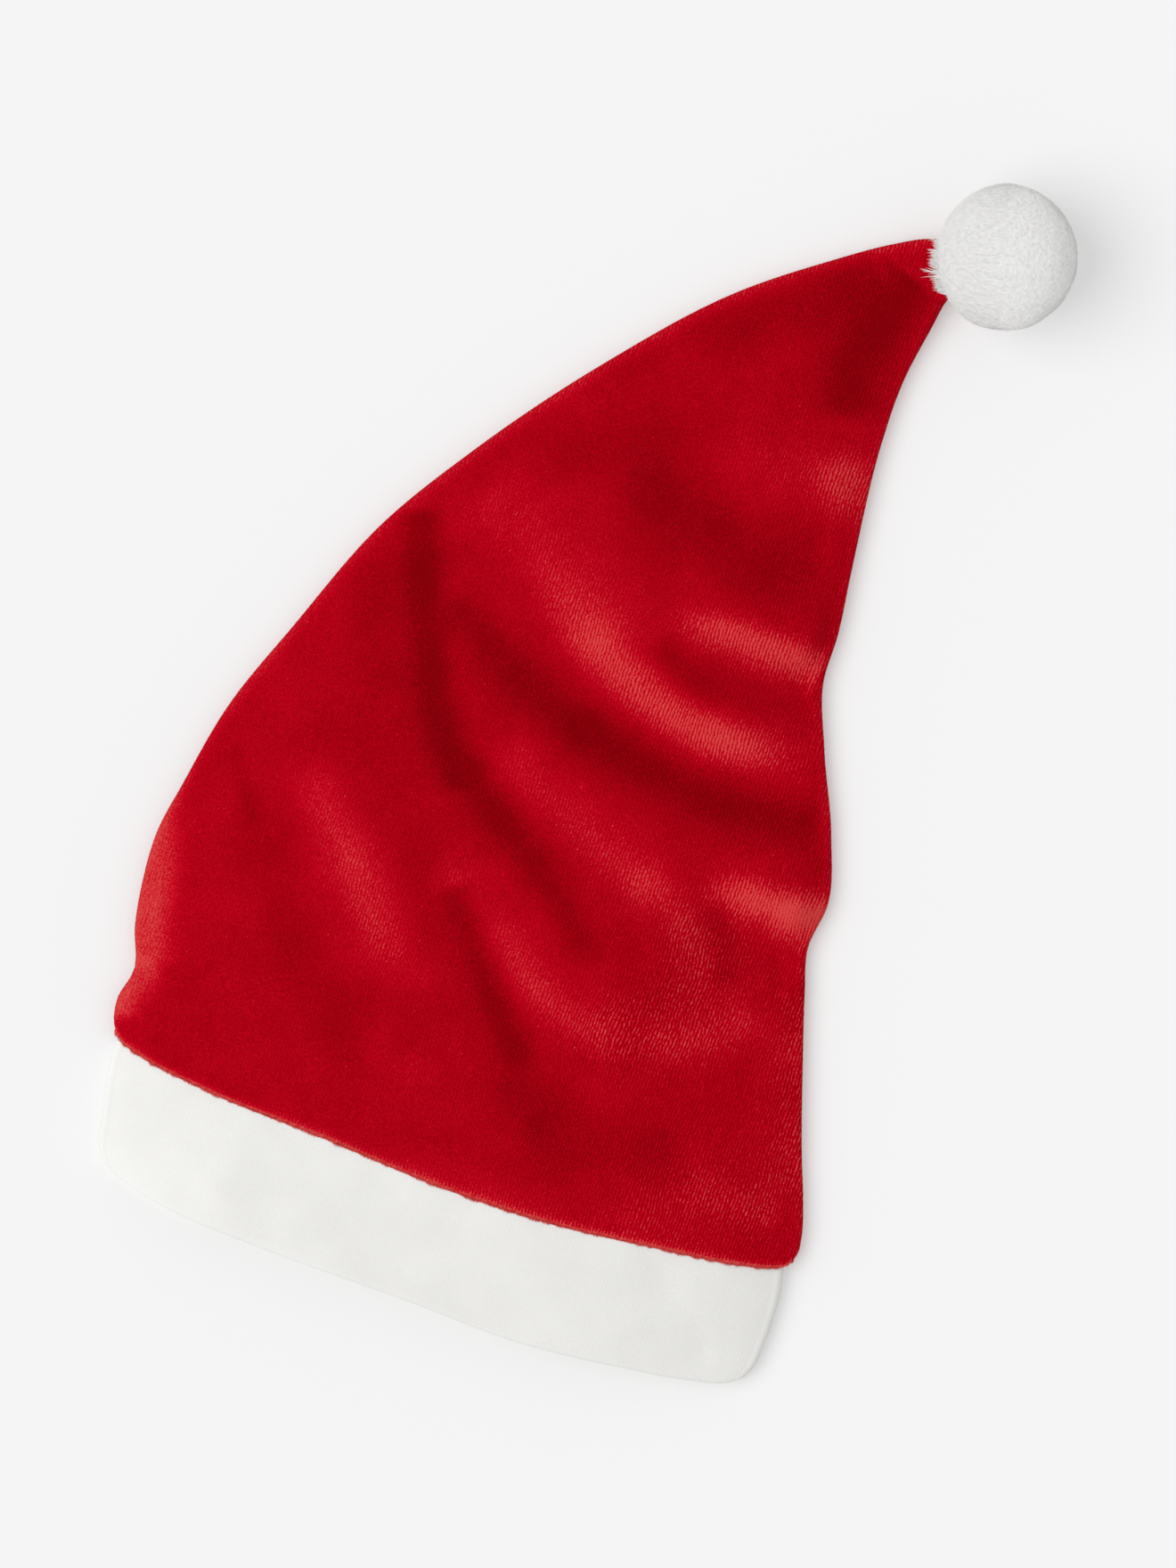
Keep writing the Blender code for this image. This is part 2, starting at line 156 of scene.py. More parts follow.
def seam_curve(points, shares):
    """Points at the given shares of the length of a smooth seam through the listed points."""
    knots = np.array(points, dtype=float)
    stops = length_along(knots)
    slopes = np.gradient(knots, stops, axis=0)
    places = np.linspace(0.0, stops[-1], 1200)
    span = np.clip(np.searchsorted(stops, places, side="right") - 1, 0, len(stops) - 2)
    step = (stops[span + 1] - stops[span])[:, None]
    f = (places - stops[span])[:, None] / step
    line = (2 * f**3 - 3 * f**2 + 1) * knots[span] + (3 * f**2 - 2 * f**3) * knots[span + 1]
    line += (f**3 - 2 * f**2 + f) * step * slopes[span] + (f**3 - f**2) * step * slopes[span + 1]
    run = length_along(line)
    run /= run[-1]
    return np.stack([np.interp(shares, run, line[:, 0]), np.interp(shares, run, line[:, 1])], axis=-1)


def spread_between(foot, head, left, right, s, t):
    """Fill a four-sided plan evenly between its edges, at the shares s across and t along."""
    across = s[..., None]
    along = t[..., None]
    low = (1 - across) * foot[0] + across * foot[-1]
    high = (1 - across) * head[0] + across * head[-1]
    ends = (1 - along) * low + along * high
    between = (1 - across) * seam_curve(left, t) + across * seam_curve(right, t)
    return (1 - along) * seam_curve(foot, s) + along * seam_curve(head, s) + between - ends


def edge_to_edge(width, spans):
    """Distances from the left edge, and rises over the seam's plane, across one row of cloth."""
    turn = np.linspace(0.0, math.pi / 2, roll_steps + 1)[:-1]
    edge = np.concatenate(([0.0], side_roll * (1 - np.cos(turn))))
    rise = np.concatenate(([seam_gap], half_edge - side_roll * (1 - np.sin(turn))))
    even = np.linspace(0.0, 1.0, spans + 1)
    eased = (1 - edge_crowding) * even + edge_crowding * (1 - np.cos(math.pi * even)) / 2
    middle = side_roll + (width - 2 * side_roll) * eased
    distance = np.concatenate((edge, middle, width - edge[::-1]))
    return distance, np.concatenate((rise, np.full(spans + 1, half_edge), rise[::-1]))


def eased_step(value):
    """Ease from 0 to 1 as the value goes from 0 to 1."""
    share = np.clip(value, 0.0, 1.0)
    return share * share * (3 - 2 * share)


def crown_lift(from_left, from_right):
    """Lift of the cloth over the hollow, none at the rolled edges."""
    left = 1 - np.exp(-np.maximum(from_left - side_roll, 0.0) / crown_reach)
    right = 1 - np.exp(-np.maximum(from_right - side_roll, 0.0) / crown_reach)
    return crown * left * right


def fold_lift(folds, plan):
    """Height of all the folds together over each plan point."""
    total = np.zeros(plan.shape[:-1])
    for fold in folds.values():
        path = seam_curve(fold.path, np.linspace(0.0, 1.0, 33))
        nearest = np.full(total.shape, 1e9)
        side = np.zeros(total.shape)
        share = np.zeros(total.shape)
        for index in range(len(path) - 1):
            step = path[index + 1] - path[index]
            length = step @ step
            along = np.clip((plan - path[index]) @ step / length, 0.0, 1.0)
            offset = plan - path[index] - along[..., None] * step
            distance = np.maximum(np.linalg.norm(offset, axis=-1), 1e-9)
            cross = (step[0] * offset[..., 1] - step[1] * offset[..., 0]) / math.sqrt(length)
            closer = distance < nearest
            side = np.where(closer, cross / distance, side)
            share = np.where(closer, (index + along) / (len(path) - 1), share)
            nearest = np.where(closer, distance, nearest)
        width = fold.hem_side + (fold.tip_side - fold.hem_side) * (0.5 + 0.5 * side)
        fade = eased_step(np.minimum(share / fold.rise, (1 - share) / fold.fall) + fold_end_share)
        total += fold.height * fade * np.exp(-((nearest / width) ** 2))
    return total


tip_bend_start = np.array([0.0300, 0.2777])
tip_bend_angle = math.radians(32.7)
tip_bend_radius = 0.050
tip_heading = np.array([math.cos(tip_bend_angle), math.sin(tip_bend_angle)])


def turn_up_tip(points):
    """Turn the last stretch before the ball upwards, about an axis above the surface."""
    reach = np.maximum((points[..., :2] - tip_bend_start) @ tip_heading, 0.0)
    turn = reach / tip_bend_radius
    arm = tip_bend_radius - points[..., 2]
    bent = points.copy()
    bent[..., :2] += tip_heading * (arm * np.sin(turn) - reach)[..., None]
    bent[..., 2] = tip_bend_radius - arm * np.cos(turn)
    return np.where((reach > 0)[..., None], bent, points)


def cloth_grid(spans, rows):
    """Plan points, distances from the two sides, rises and distances from the hem of a red panel."""
    tip_edge = [left_seam[-1], right_seam[-1]]
    turn = np.linspace(0.0, math.pi / 2, hem_steps + 1)[:-1]
    roll_shares = hem_roll * (1 - np.cos(turn)) / side_length
    flat_shares = np.linspace(hem_roll / side_length, 1.0, rows - hem_steps + 1)
    along = np.concatenate((roll_shares, flat_shares))
    left = seam_curve(left_seam, along)
    right = seam_curve(right_seam, along)
    widths = np.linalg.norm(right - left, axis=1)
    stations = [edge_to_edge(width, spans) for width in widths]
    distance = np.array([station[0] for station in stations])
    rise = np.array([station[1] for station in stations])
    t = np.repeat(along[:, None], distance.shape[1], axis=1)
    plan = spread_between(hem_line, tip_edge, left_seam, right_seam, distance / widths[:, None], t)
    return plan, distance, widths[:, None] - distance, rise, t * side_length


def roll_drop(from_edge, roll):
    """Fall of a round edge below its face, at each distance from the edge."""
    return roll - np.sqrt(np.maximum(roll**2 - np.maximum(roll - from_edge, 0.0) ** 2, 0.0))


def surface_waver(plan, size, depth, seed):
    """Small uneven waver of the cloth, the same at each run."""
    flat = plan.reshape(-1, 2) / size
    heights = [noise.noise(Vector((x, y, seed))) for x, y in flat]
    return depth * np.array(heights).reshape(plan.shape[:-1])


def grid_mesh(name, points, round_across=False, round_along=False, turned=False):
    """One mesh of four-sided faces over a grid of points."""
    rows, columns = points.shape[:2]
    index = np.arange(rows * columns).reshape(rows, columns)
    if round_across:
        index = np.concatenate((index, index[:, :1]), axis=1)
    if round_along:
        index = np.concatenate((index, index[:1]), axis=0)
    corners = [index[:-1, :-1], index[:-1, 1:], index[1:, 1:], index[1:, :-1]]
    faces = np.stack(corners[::-1] if turned else corners, axis=-1).reshape(-1, 4)
    made = bpy.data.meshes.new(name)
    made.from_pydata(points.reshape(-1, 3).tolist(), [], faces.tolist())
    made.validate()
    made.shade_smooth()
    return made


def sewn_piece(name, mesh, finish):
    """An object for a finished mesh, with its material."""
    made = bpy.data.objects.new(name, mesh)
    made.data.materials.append(finish)
    bpy.context.scene.collection.objects.link(made)
    return made


def cloth_wall(piece, wall):
    """Give an open cloth surface its thickness on the inner side."""
    thick = piece.modifiers.new("wall", "SOLIDIFY")
    thick.thickness = wall
    thick.offset = -1.0
    thick.use_even_offset = True


def add_node(tree, kind, inputs=None, **settings):
    """A node with its settings, and each input either a value or a link from a socket."""
    made = tree.nodes.new(kind)
    for name, value in settings.items():
        setattr(made, name, value)
    for socket, value in (inputs or {}).items():
        if isinstance(value, bpy.types.NodeSocket):
            tree.links.new(value, made.inputs[socket])
        else:
            made.inputs[socket].default_value = value
    return made


def add_math(tree, operation, *values):
    """A Math node's result."""
    return add_node(tree, "ShaderNodeMath", dict(enumerate(values)), operation=operation).outputs[0]


def velour_knit_group():
    """Stitches in ribs, fine pile, lint and brushed patches of a sheared rib knit, as masks."""
    group = bpy.data.node_groups.new("velour_knit", "ShaderNodeTree")
    for name in ("Rib Pitch", "Stitch Length", "Pile Size", "Sway", "Stray"):
        group.interface.new_socket(name, in_out="INPUT", socket_type="NodeSocketFloat")
    for name in ("Stitches", "Pile", "Lint", "Patches", "Height"):
        group.interface.new_socket(name, in_out="OUTPUT", socket_type="NodeSocketFloat")
    given = group.nodes.new("NodeGroupInput").outputs
    place = group.nodes.new("ShaderNodeTexCoord").outputs["Object"]

    def noise_mask(inputs, low, high):
        """A noise stretched so that the values from low to high go from 0 to 1."""
        cloud = add_node(group, "ShaderNodeTexNoise", inputs).outputs[0]
        return add_node(
            group, "ShaderNodeMapRange", {"Value": cloud, "From Min": low, "From Max": high}
        ).outputs[0]

    def shifted(start, scale, detail, reach):
        """The start point moved by up to half the reach, unevenly over the cloth."""
        cloud = add_node(
            group, "ShaderNodeTexNoise", {"Vector": place, "Scale": scale, "Detail": detail}
        )
        middle = (0.5, 0.5, 0.5)
        offset = add_node(
            group, "ShaderNodeVectorMath", {0: cloud.outputs["Color"], 1: middle}, operation="SUBTRACT"
        )
        step = add_node(
            group, "ShaderNodeVectorMath", {0: offset.outputs[0], "Scale": reach}, operation="SCALE"
        )
        return add_node(group, "ShaderNodeVectorMath", {0: start, 1: step.outputs[0]}).outputs[0]

    swayed = shifted(shifted(place, 60.0, 1.0, given["Sway"]), 700.0, 0.0, given["Stray"])
    parts = add_node(group, "ShaderNodeSeparateXYZ", {0: swayed}).outputs
    column = add_math(group, "DIVIDE", parts[0], given["Rib Pitch"])
    course = add_math(group, "DIVIDE", parts[1], given["Stitch Length"])
    wave = add_math(group, "SINE", add_math(group, "MULTIPLY", column, 2 * math.pi))
    rib = add_node(
        group, "ShaderNodeMapRange", {"Value": wave, "From Min": -0.5, "From Max": 0.9}
    ).outputs[0]
    cell = add_node(group, "ShaderNodeCombineXYZ", {0: column, 1: course}).outputs[0]
    dash = noise_mask({"Vector": cell, "Scale": 1.0, "Detail": 1.0}, 0.33, 0.66)
    stitches = add_math(group, "MULTIPLY", rib, add_math(group, "MULTIPLY_ADD", dash, 0.65, 0.35))
    pile_scale = add_math(group, "DIVIDE", 1.0, given["Pile Size"])
    pile = noise_mask({"Vector": place, "Scale": pile_scale, "Detail": 2.0, "Roughness": 0.6}, 0.34, 0.66)
    flecks = add_node(group, "ShaderNodeTexVoronoi", {"Vector": place, "Scale": 420.0}).outputs
    fleck = add_node(
        group, "ShaderNodeMapRange", {"Value": flecks["Distance"], "From Min": 0.13, "From Max": 0.05}
    ).outputs[0]
    chosen = add_node(group, "ShaderNodeSeparateColor", {0: flecks["Color"]}).outputs[1]
    lint = add_math(group, "MULTIPLY", fleck, add_math(group, "GREATER_THAN", chosen, 0.6))
    patches = noise_mask({"Vector": place, "Scale": 48.0, "Detail": 3.0}, 0.32, 0.68)
    height = add_math(group, "MULTIPLY_ADD", pile, 0.45, add_math(group, "MULTIPLY", stitches, 0.55))
    sockets = {"Stitches": stitches, "Pile": pile, "Lint": lint, "Patches": patches, "Height": height}
    add_node(group, "NodeGroupOutput", sockets)
    return group


velour_knit = velour_knit_group()
knit_sizes = {
    "Rib Pitch": 0.00096,
    "Stitch Length": 0.00125,
    "Pile Size": 0.00055,
    "Sway": 0.0030,
    "Stray": 0.0006,
}
middle_stitch = 0.27
middle_mask = 0.5

VelourLook = namedtuple("VelourLook", "stitches pile lint patches relief sheen sheen_tint")


def velour_finish(name, shades, look):
    """Velour: knit, pile and a stored mask of painted shade and highlight set the colour, under a soft
    sheen.
    """
    made = bpy.data.materials.new(name)
    made.use_nodes = True
    tree = made.node_tree
    shader = tree.nodes["Principled BSDF"]
    knit = add_node(tree, "ShaderNodeGroup", knit_sizes, node_tree=velour_knit).outputs
    painted_shade = add_node(tree, "ShaderNodeAttribute", attribute_name="painted_shade").outputs["Fac"]
    bare = add_node(tree, "ShaderNodeAttribute", attribute_name="bare").outputs["Fac"]
    patches = add_math(tree, "SUBTRACT", knit["Patches"], middle_mask)
    stitches = add_math(tree, "SUBTRACT", knit["Stitches"], middle_stitch)
    pile = add_math(tree, "SUBTRACT", knit["Pile"], middle_mask)
    patched = add_math(tree, "MULTIPLY_ADD", patches, look.patches, painted_shade)
    ribbed = add_math(tree, "MULTIPLY", stitches, bare)
    stitched = add_math(tree, "MULTIPLY_ADD", ribbed, look.stitches, patched)
    piled = add_math(tree, "MULTIPLY_ADD", pile, look.pile, stitched)
    shade = add_math(tree, "MULTIPLY_ADD", knit["Lint"], look.lint, piled)
    ramp = add_node(tree, "ShaderNodeValToRGB", {0: shade})
    stops = ramp.color_ramp.elements
    stops[0].color = shades[0][1]
    stops[1].color = shades[-1][1]
    for position, colour in shades[1:-1]:
        stops.new(position).color = colour
    bumped = add_node(
        tree, "ShaderNodeBump", {"Strength": 1.0, "Distance": look.relief, "Height": knit["Height"]}
    )
    tree.links.new(ramp.outputs[0], shader.inputs["Base Color"])
    tree.links.new(bumped.outputs[0], shader.inputs["Normal"])
    shader.inputs["Roughness"].default_value = 0.9
    shader.inputs["Specular IOR Level"].default_value = 0.0
    shader.inputs["Sheen Weight"].default_value = look.sheen
    shader.inputs["Sheen Roughness"].default_value = 0.35
    shader.inputs["Sheen Tint"].default_value = look.sheen_tint
    return made


# From painted shade, through the cloth's own red at 0.35, to a pinker painted highlight.
red_shade_to_highlight = [
    (0.00, (0.222, 0.0003, 0.0028, 1.0)),
    (0.35, (0.400, 0.0004, 0.0066, 1.0)),
    (0.55, (0.510, 0.0012, 0.0120, 1.0)),
    (0.68, (0.560, 0.0065, 0.0185, 1.0)),
    (1.00, (0.700, 0.0620, 0.0600, 1.0)),
]
red_look = VelourLook(
    stitches=0.66, pile=0.31, lint=0.34, patches=0.14, relief=0.00014, sheen=0.25,
    sheen_tint=(1.0, 0.10, 0.12, 1.0),
)
red_velour = velour_finish("red_velour", red_shade_to_highlight, red_look)
# The level of painted shade where nothing is painted: the cloth's own red.
plain_shade = 0.35

# Painted shade and painted highlights over the folds, as folds of a shade and not of the cloth.
front_shade_strokes = {
    "long_valley_head": Fold(
        -0.35, 0.0070, 0.0055,
        [(-0.070, 0.179), (-0.058, 0.150), (-0.045, 0.124), (-0.031, 0.107)], 0.05, 0.08
    ),
    "long_valley_foot": Fold(
        -0.28, 0.0055, 0.0050, [(-0.038, 0.115), (-0.007, 0.094), (0.009, 0.081), (0.019, 0.069)], 0.08
    ),
    "long_valley_side": Fold(
        -0.11, 0.0075, 0.0070, [(-0.074, 0.168), (-0.075, 0.152), (-0.068, 0.138), (-0.058, 0.124)]
    ),
    "broad_valley_head": Fold(
        -0.24, 0.0065, 0.0065, [(-0.056, 0.158), (-0.030, 0.143), (-0.010, 0.136), (0.004, 0.132)], 0.12
    ),
    "broad_valley": Fold(
        -0.35, 0.0075, 0.0070, [(-0.018, 0.137), (0.010, 0.131), (0.040, 0.127), (0.066, 0.131)], 0.3, 0.06
    ),
    "low_valley_head": Fold(
        -0.32, 0.0048, 0.0060, [(-0.028, 0.082), (-0.011, 0.062), (0.000, 0.048), (0.012, 0.036)], 0.08, 0.2
    ),
    "low_valley_foot": Fold(
        -0.18, 0.0100, 0.0080, [(0.006, 0.040), (0.022, 0.030), (0.043, 0.029), (0.062, 0.034)]
    ),
    "hem_valley": Fold(
        -0.13, 0.0055, 0.0060, [(0.003, 0.044), (0.008, 0.032), (0.019, 0.022), (0.037, 0.014)]
    ),
    "upper_valley": Fold(
        -0.19, 0.0105, 0.0095, [(-0.016, 0.214), (-0.002, 0.203), (0.016, 0.200), (0.042, 0.204)], 0.2, 0.1
    ),
    "above_dent_shade": Fold(
        -0.10, 0.0065, 0.0065, [(0.006, 0.192), (0.020, 0.190), (0.034, 0.193), (0.046, 0.198)]
    ),
    "upper_left_shade": Fold(
        -0.14, 0.0080, 0.0085, [(-0.050, 0.204), (-0.032, 0.206), (-0.018, 0.214), (-0.008, 0.230)]
    ),
    "tip_shade": Fold(
        -0.36, 0.0090, 0.0085, [(0.036, 0.238), (0.033, 0.254), (0.036, 0.268), (0.041, 0.286)], 0.15, 0.05
    ),
    "tip_left_shade": Fold(
        -0.17, 0.0100, 0.0090, [(-0.018, 0.242), (-0.003, 0.253), (0.014, 0.267), (0.030, 0.284)], 0.2, 0.05
    ),
    "left_crease": Fold(
        -0.15, 0.0030, 0.0030, [(-0.098, 0.100), (-0.094, 0.093), (-0.089, 0.085), (-0.084, 0.077)]
    ),
    "left_valley": Fold(
        -0.05, 0.0070, 0.0050, [(-0.088, 0.084), (-0.069, 0.063), (-0.051, 0.045), (-0.026, 0.016)]
    ),
    "upper_pocket": Fold(
        -0.17, 0.0050, 0.0045, [(0.004, 0.166), (0.014, 0.159), (0.028, 0.154), (0.046, 0.153)], 0.15, 0.3
    ),
    "lower_pocket": Fold(
        -0.16, 0.0050, 0.0040, [(0.042, 0.101), (0.048, 0.093), (0.051, 0.086), (0.056, 0.079)], 0.2
    ),
    "main_ridge_haze": Fold(
        0.19, 0.0110, 0.0120, [(-0.058, 0.190), (-0.032, 0.177), (-0.014, 0.163), (-0.002, 0.153)], 0.12
    ),
    "main_ridge_light": Fold(
        0.48, 0.0062, 0.0075, [(-0.036, 0.177), (-0.010, 0.156), (0.016, 0.146), (0.060, 0.144)], 0.55, 0.3
    ),
    "upper_dent_light": Fold(
        0.52, 0.0062, 0.0045, [(0.002, 0.171), (0.018, 0.173), (0.034, 0.173), (0.052, 0.172)], 0.5, 0.04
    ),
    "side_spot": Fold(
        0.40, 0.0072, 0.0072, [(0.035, 0.234), (0.039, 0.227), (0.042, 0.220), (0.046, 0.208)], 0.4, 0.6
    ),
    "tip_haze": Fold(
        0.10, 0.0080, 0.0080, [(0.000, 0.225), (0.014, 0.221), (0.028, 0.222), (0.042, 0.226)]
    ),
    "second_haze": Fold(
        0.19, 0.0070, 0.0070, [(-0.030, 0.125), (-0.008, 0.112), (0.014, 0.103), (0.032, 0.092)], 0.2
    ),
    "second_light": Fold(
        0.18, 0.0060, 0.0060, [(0.014, 0.103), (0.028, 0.098), (0.040, 0.089), (0.053, 0.079)]
    ),
    "bowl_light": Fold(
        0.25, 0.0070, 0.0065, [(-0.034, 0.091), (-0.014, 0.073), (0.006, 0.060), (0.038, 0.053)], 0.2, 0.2
    ),
    "bowl_side_light": Fold(
        0.20, 0.0065, 0.0065, [(0.034, 0.056), (0.048, 0.061), (0.060, 0.068), (0.066, 0.077)]
    ),
    "lower_dent_light": Fold(
        0.54, 0.0056, 0.0052, [(0.036, 0.104), (0.050, 0.1045), (0.062, 0.105), (0.075, 0.107)], 0.5, 0.04
    ),
    "lower_dent_side_light": Fold(
        0.22, 0.0060, 0.0070,
        [(0.058, 0.1010), (0.064, 0.1005), (0.070, 0.1000), (0.075, 0.1005)], 0.4, 0.04
    ),
    "left_haze": Fold(
        0.08, 0.0120, 0.0120, [(-0.100, 0.098), (-0.096, 0.080), (-0.090, 0.062), (-0.082, 0.048)]
    ),
    "left_ridge_haze": Fold(
        0.28, 0.0074, 0.0098,
        [(-0.081, 0.106), (-0.066, 0.087), (-0.050, 0.070), (-0.026, 0.045)], 0.22, 0.3
    ),
    "left_edge_light": Fold(
        0.46, 0.0062, 0.0062,
        [(-0.1095, 0.086), (-0.1070, 0.062), (-0.1035, 0.044), (-0.0995, 0.029)], 0.6, 0.1
    ),
    "left_bulge_light": Fold(
        0.40, 0.0048, 0.0048,
        [(-0.0980, 0.034), (-0.1000, 0.028), (-0.1030, 0.021), (-0.1026, 0.014)], 0.2, 0.2
    ),
    "hem_left_haze": Fold(
        0.07, 0.0080, 0.0080, [(-0.028, 0.030), (-0.018, 0.028), (-0.010, 0.024), (-0.002, 0.018)]
    ),
    "hem_haze": Fold(
        0.08, 0.0060, 0.0050, [(-0.030, 0.004), (0.006, 0.003), (0.038, 0.004), (0.066, 0.008)]
    ),
    "hem_corner_haze": Fold(
        0.13, 0.0050, 0.0050, [(0.056, 0.024), (0.069, 0.023), (0.081, 0.022), (0.092, 0.021)]
    ),
    "right_haze": Fold(
        0.08, 0.0090, 0.0090, [(0.074, 0.084), (0.079, 0.062), (0.085, 0.042), (0.092, 0.020)]
    ),
}
# Where the nap is parted, so that the ribs under it show.
front_bare = {
    "hem_corner": Fold(
        0.42, 0.0140, 0.0140, [(0.040, 0.014), (0.056, 0.018), (0.074, 0.022), (0.094, 0.024)]
    ),
    "under_lower_dent": Fold(
        0.70, 0.0120, 0.0120, [(0.040, 0.104), (0.046, 0.084), (0.042, 0.066), (0.020, 0.054)]
    ),
    "right_edge": Fold(
        0.50, 0.0070, 0.0070, [(0.096, 0.020), (0.088, 0.044), (0.079, 0.072), (0.072, 0.094)]
    ),
}


def store_mask(piece, name, values):
    """Keep one number for each point of a piece, from 0 to 1, for its material to read."""
    stored = piece.data.attributes.new(name, "FLOAT", "POINT")
    stored.data.foreach_set("value", np.clip(values, 0.0, 1.0).reshape(-1).astype(np.float32))


front_plan, from_left, from_right, front_rise, from_hem = cloth_grid(front_spans, front_rows)
side_fade = eased_step(np.minimum(from_left, from_right) / fold_fade_side)
hem_fade = eased_step(from_hem / fold_fade_hem)
front_height = half_edge + front_rise + crown_lift(from_left, from_right)
front_height += hem_puff * side_fade * (1 - eased_step(from_hem / hem_puff_depth))
front_height += fold_lift(front_folds, front_plan) * side_fade * hem_fade
front_waver = surface_waver(front_plan, cloth_waver_size, cloth_waver, cloth_waver_seed)
front_height += front_waver * side_fade
front_height -= roll_drop(from_hem, hem_roll) * side_fade
front_points = turn_up_tip(np.dstack([front_plan, front_height]))
front_points[..., :2] += hem_middle
front_panel = sewn_piece("front_velour", grid_mesh("front_velour", front_points), red_velour)

# Painted shade and highlight over the front, with painted highlights along both sides and the hem.
front_painted_shade = plain_shade + fold_lift(front_shade_strokes, front_plan)
for light, width, distance in (
    (0.28, 0.0024, from_left),
    (0.17, 0.0020, from_right),
    (0.34, 0.0016, from_hem),
):
    front_painted_shade += light * np.exp(-((distance / width) ** 2))
right_wear = 0.12 + 0.26 * eased_step((front_plan[..., 0] + 0.02) / 0.07)
highlight_rib_share = 0.15 + 0.85 * eased_step((front_plan[..., 0] + 0.095) / 0.07)
front_rib_show = right_wear + fold_lift(front_bare, front_plan)
# The ribs show more in the painted highlights, less so near the left edge.
front_rib_show += 1.6 * highlight_rib_share * np.maximum(front_painted_shade - plain_shade, 0.0)
store_mask(front_panel, "painted_shade", front_painted_shade)
store_mask(front_panel, "bare", front_rib_show)
cloth_wall(front_panel, velour_wall)
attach(front_panel, "root")
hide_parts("front_panel")

# Back panel
# The lower half of the body, the same red velour cut as the front's mirror image. It lies flat
# on the surface, and its edges turn up to the side seams.
back_spans = 46
back_rows = 120
under_share = 0.95
back_nap = 0.36
back_wear = 0.4
back_plan, _, _, back_rise, _ = cloth_grid(back_spans, back_rows)
back_points = turn_up_tip(np.dstack([back_plan, half_edge - under_share * back_rise]))
back_points[..., :2] += hem_middle
back_panel = sewn_piece("back_velour", grid_mesh("back_velour", back_points, turned=True), red_velour)
store_mask(back_panel, "painted_shade", np.full(back_points.shape[:2], back_nap))
store_mask(back_panel, "bare", np.full(back_points.shape[:2], back_wear))
cloth_wall(back_panel, velour_wall)
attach(back_panel, "root")
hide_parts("back_panel")

# Band
# A strip of white velour folded double along its length, joined into a ring and sewn to the
# red hem with the fold at the foot, so that the edge is round and two cloths thick.
band_wall = 0.0024
band_gap = 0.0001
band_depth = 0.0335
band_top_steps = [0.0, 0.00010, 0.00025, 0.0006]
band_top_end = 0.0012
band_top_roll = 0.0002
band_top_roll_share = 0.8
band_waver = 0.00020
band_waver_size = 0.011
band_waver_seed = 4.1
band_rows = 36
band_turn_steps = 8
band_inner_step = 3
band_foot = [
    (-0.0945, -0.0245), (-0.0864, -0.0279), (-0.0735, -0.0306), (-0.0450, -0.0325), (0.0000, -0.0331),
    (0.0310, -0.0341), (0.0600, -0.0316), (0.0820, -0.0284), (0.0905, -0.0263), (0.0948, -0.0237),
]
band_left_end = [
    (-0.1020, 0.0096), (-0.1020, 0.0045), (-0.1012, -0.0018), (-0.0991, -0.0117), (-0.0976, -0.0191),
    (-0.0945, -0.0245),
]
band_right_end = [
    (0.0956, 0.0103), (0.0970, 0.0045), (0.0977, -0.0050), (0.0976, -0.0124), (0.0969, -0.0190),
    (0.0948, -0.0237),
]
band_folds = {
    "left_swell": Fold(
        0.0006, 0.012, 0.012, [(-0.070, -0.026), (-0.062, -0.014), (-0.056, -0.004), (-0.052, 0.004)]
    ),
    "middle_dip": Fold(
        -0.0006, 0.016, 0.016, [(-0.020, -0.032), (-0.012, -0.020), (-0.006, -0.010), (-0.004, -0.002)]
    ),
    "right_swell": Fold(
        0.0005, 0.014, 0.014, [(0.040, -0.032), (0.046, -0.020), (0.052, -0.008), (0.060, 0.001)]
    ),
    "foot_dip": Fold(
        -0.0005, 0.006, 0.009, [(0.058, -0.030), (0.066, -0.026), (0.076, -0.022), (0.086, -0.018)]
    ),
}
band_top = [(-0.1020, 0.0096)] + [(x, y - band_gap) for x, y in hem_line[2:-2]] + [(0.0956, 0.0103)]


def band_loops(shares):
    """Outer points round the flattened band, one loop for each share of its depth."""
    loops = []
    for share in shares:
        edges = [seam_curve(line, np.array([share]))[0] for line in (band_left_end, band_right_end)]
        width = float(np.linalg.norm(edges[1] - edges[0]))
        halves = []
        for spans, upper in ((front_spans, True), (back_spans, False)):
            distance, rise = edge_to_edge(width, spans)
            distance, rise = distance[1:-1], rise[1:-1]
            s = distance / width
            t = np.full(s.shape, share)
            plan = spread_between(band_top, band_foot, band_left_end, band_right_end, s, t)
            if upper:
                fade = eased_step(np.minimum(distance, width - distance) / fold_fade_side)
                level = half_edge + rise + crown_lift(distance, width - distance)
                level += fold_lift(band_folds, plan) * fade
                level += surface_waver(plan, band_waver_size, band_waver, band_waver_seed) * fade
                halves.append(np.column_stack([plan, level]))
            else:
                halves.append(np.column_stack([plan, half_edge - under_share * rise])[::-1])
        loops.append(np.concatenate(halves))
    return np.array(loops)


def band_inward(loops):
    """Unit way from the band's outer face to its hollow, square to the face at each point."""
    around = np.roll(loops, -1, axis=1) - np.roll(loops, 1, axis=1)
    ways = np.dstack([around[..., 2], np.zeros(around.shape[:2]), -around[..., 0]])
    return ways / np.maximum(np.linalg.norm(ways, axis=-1, keepdims=True), 1e-12)


